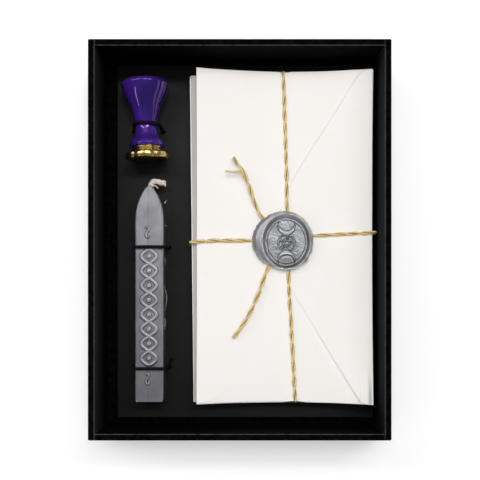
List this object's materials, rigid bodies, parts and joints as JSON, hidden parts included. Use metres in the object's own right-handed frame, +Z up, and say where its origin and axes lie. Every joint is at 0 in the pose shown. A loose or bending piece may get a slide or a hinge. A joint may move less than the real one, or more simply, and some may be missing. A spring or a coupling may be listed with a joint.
{
  "type": "wax seal set box",
  "caption": "Open rigid tray with a card insert that holds a wax seal stamp, a wax stick with wick and a twine-tied bundle of envelopes closed by a wax seal.",
  "frame": {"origin": "middle of the tray's underside", "axes": "+Z up out of the open tray, +Y towards the head of the tray where the stamp lies, +X to the right, where the bundle lies, looking down into the tray"},
  "size_m": [0.121, 0.16, 0.035],
  "materials": {
    "wrap_paper": "matt black covering paper with a fine leather grain",
    "stay_paper": "gummed kraft paper",
    "greyboard": "raw greyboard",
    "insert_card": "black card with a slight satin sheen",
    "tie_elastic": "black elastic cord",
    "handle_lacquer": "deep violet gloss",
    "brass": "turned brass",
    "sealing_wax": "silver grey wax with a metallic bloom",
    "cotton": "twisted cotton",
    "envelope_paper": "white uncoated paper",
    "twine": "straw coloured two-ply twine"
  },
  "bodies": {
    "tray": {"base_sheet": "wrap_paper", "base_board": "greyboard", "wall_board_left": "greyboard", "wall_board_right": "greyboard", "wall_board_head": "greyboard", "wall_board_foot": "greyboard", "corner_stays": "stay_paper", "wrap_paper": "wrap_paper", "floor_liner": "wrap_paper"},
    "insert": {"insert_card": "insert_card", "stamp_tie": "tie_elastic", "wax_tie_upper": "tie_elastic", "wax_tie_lower": "tie_elastic"},
    "stamp": {"stamp_handle": "handle_lacquer", "handle_insert": "brass"},
    "stud": {"die_stud": "brass"},
    "die": {"seal_die": "brass"},
    "wax": {"wax_stick": "sealing_wax", "wick": "cotton"},
    "bundle": {"envelope_1": "envelope_paper", "envelope_2": "envelope_paper", "envelope_3": "envelope_paper", "envelope_4": "envelope_paper", "envelope_5": "envelope_paper", "twine_length": "twine", "twine_cross": "twine", "twine_knot": "twine", "twine_tail_upper": "twine", "twine_tail_lower": "twine", "wax_seal": "sealing_wax"}
  },
  "joints": [
    {"name": "insert_lift", "type": "slide", "parent": "tray", "child": "insert", "axis": [0, 0, 1], "range_m": [0, 0.05]},
    {"name": "stamp_lift", "type": "slide", "parent": "insert", "child": "stamp", "axis": [0, 0, 1], "range_m": [0, 0.06], "deforming": ["stamp_tie"]},
    {"name": "stud_travel", "type": "slide", "parent": "stamp", "child": "stud", "axis": [0.0338, -0.9992, -0.0217], "range_m": [0, 0.0048]},
    {"name": "die_spin", "type": "hinge", "parent": "stud", "child": "die", "pos_m": [-0.03879, 0.0402, 0.01834], "axis": [0.0338, -0.9992, -0.0217], "range_deg": [0, 2160]},
    {"name": "wax_lift", "type": "slide", "parent": "insert", "child": "wax", "axis": [0, 0, 1], "range_m": [0, 0.06], "deforming": ["wax_tie_upper", "wax_tie_lower"]},
    {"name": "bundle_lift", "type": "slide", "parent": "insert", "child": "bundle", "axis": [0, 0, 1], "range_m": [0, 0.06]}
  ],
  "couplings": [
    {"joint": "stud_travel", "follows": "die_spin", "m_per_rad": 0.00012732}
  ]
}
